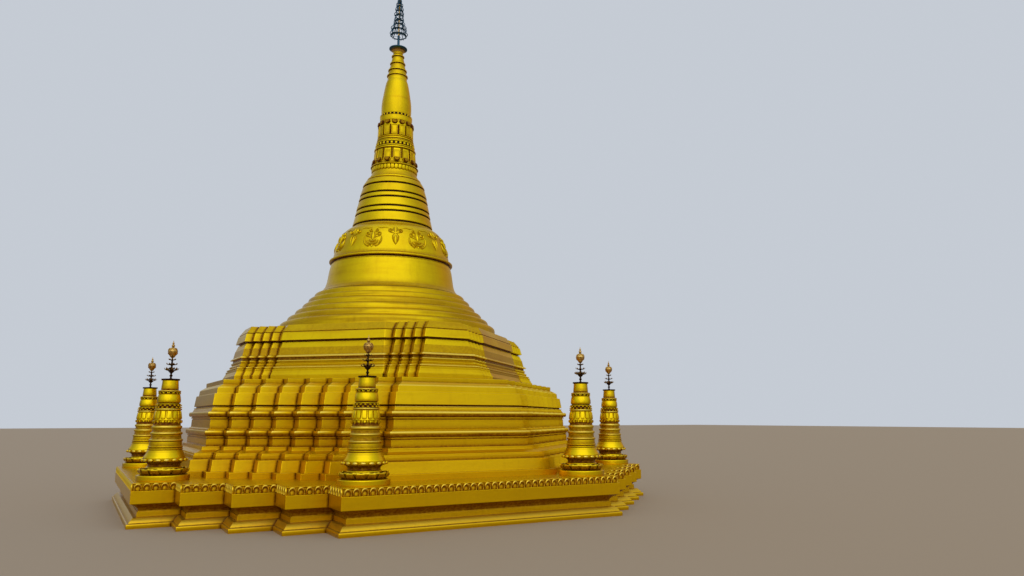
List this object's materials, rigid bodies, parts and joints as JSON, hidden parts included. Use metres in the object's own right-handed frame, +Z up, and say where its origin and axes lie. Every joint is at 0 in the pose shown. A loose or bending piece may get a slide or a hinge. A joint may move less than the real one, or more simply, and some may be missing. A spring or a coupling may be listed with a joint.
{
  "type": "golden stupa",
  "caption": "Gold-painted masonry stupa: stepped cross platform with small stupas, redented terraces, round steps, bell, ringed cone and a tapering spire under a metal umbrella.",
  "frame": {"origin": "centre of the plan at ground level", "axes": "+Z up along the spire, -Y towards the main front, +X to its right"},
  "size_m": [10.636, 10.636, 12.33],
  "materials": {
    "gold_paint": "satin gold paint on plastered masonry",
    "bronze": "aged gilt metal",
    "umbrella_steel": "dark metal with worn gilding"
  },
  "bodies": {
    "root": {"platform_plinth": "gold_paint", "platform_recess": "gold_paint", "platform_fascia": "gold_paint", "platform_deck": "gold_paint", "tier1_base_band": "gold_paint", "tier1_lower_band": "gold_paint", "tier1_lower_wall": "gold_paint", "tier1_upper_wall": "gold_paint", "tier1_cornice": "gold_paint", "tier1_top_courses": "gold_paint", "tier2_foot": "gold_paint", "tier2_wall": "gold_paint", "tier2_cornice": "gold_paint", "tier2_top_course": "gold_paint", "round_steps_1": "gold_paint", "round_steps_2": "gold_paint", "round_steps_3": "gold_paint", "bell_body": "gold_paint", "bell_shoulder": "gold_paint", "ringed_cone": "gold_paint", "lotus_band_lower": "gold_paint", "bead_band": "gold_paint", "lotus_band_upper": "gold_paint", "bud": "gold_paint", "bud_rings": "gold_paint", "crown_dish": "bronze", "umbrella": "umbrella_steel", "small_stupa_1": "gold_paint", "small_stupa_2": "gold_paint", "small_stupa_3": "gold_paint", "small_stupa_4": "gold_paint", "small_stupa_5": "gold_paint", "small_stupa_6": "gold_paint", "small_stupa_7": "gold_paint", "small_stupa_8": "gold_paint", "small_finial_1": "bronze", "small_finial_2": "bronze", "small_finial_3": "bronze", "small_finial_4": "bronze", "small_finial_5": "bronze", "small_finial_6": "bronze", "small_finial_7": "bronze", "small_finial_8": "bronze"}
  },
  "joints": []
}
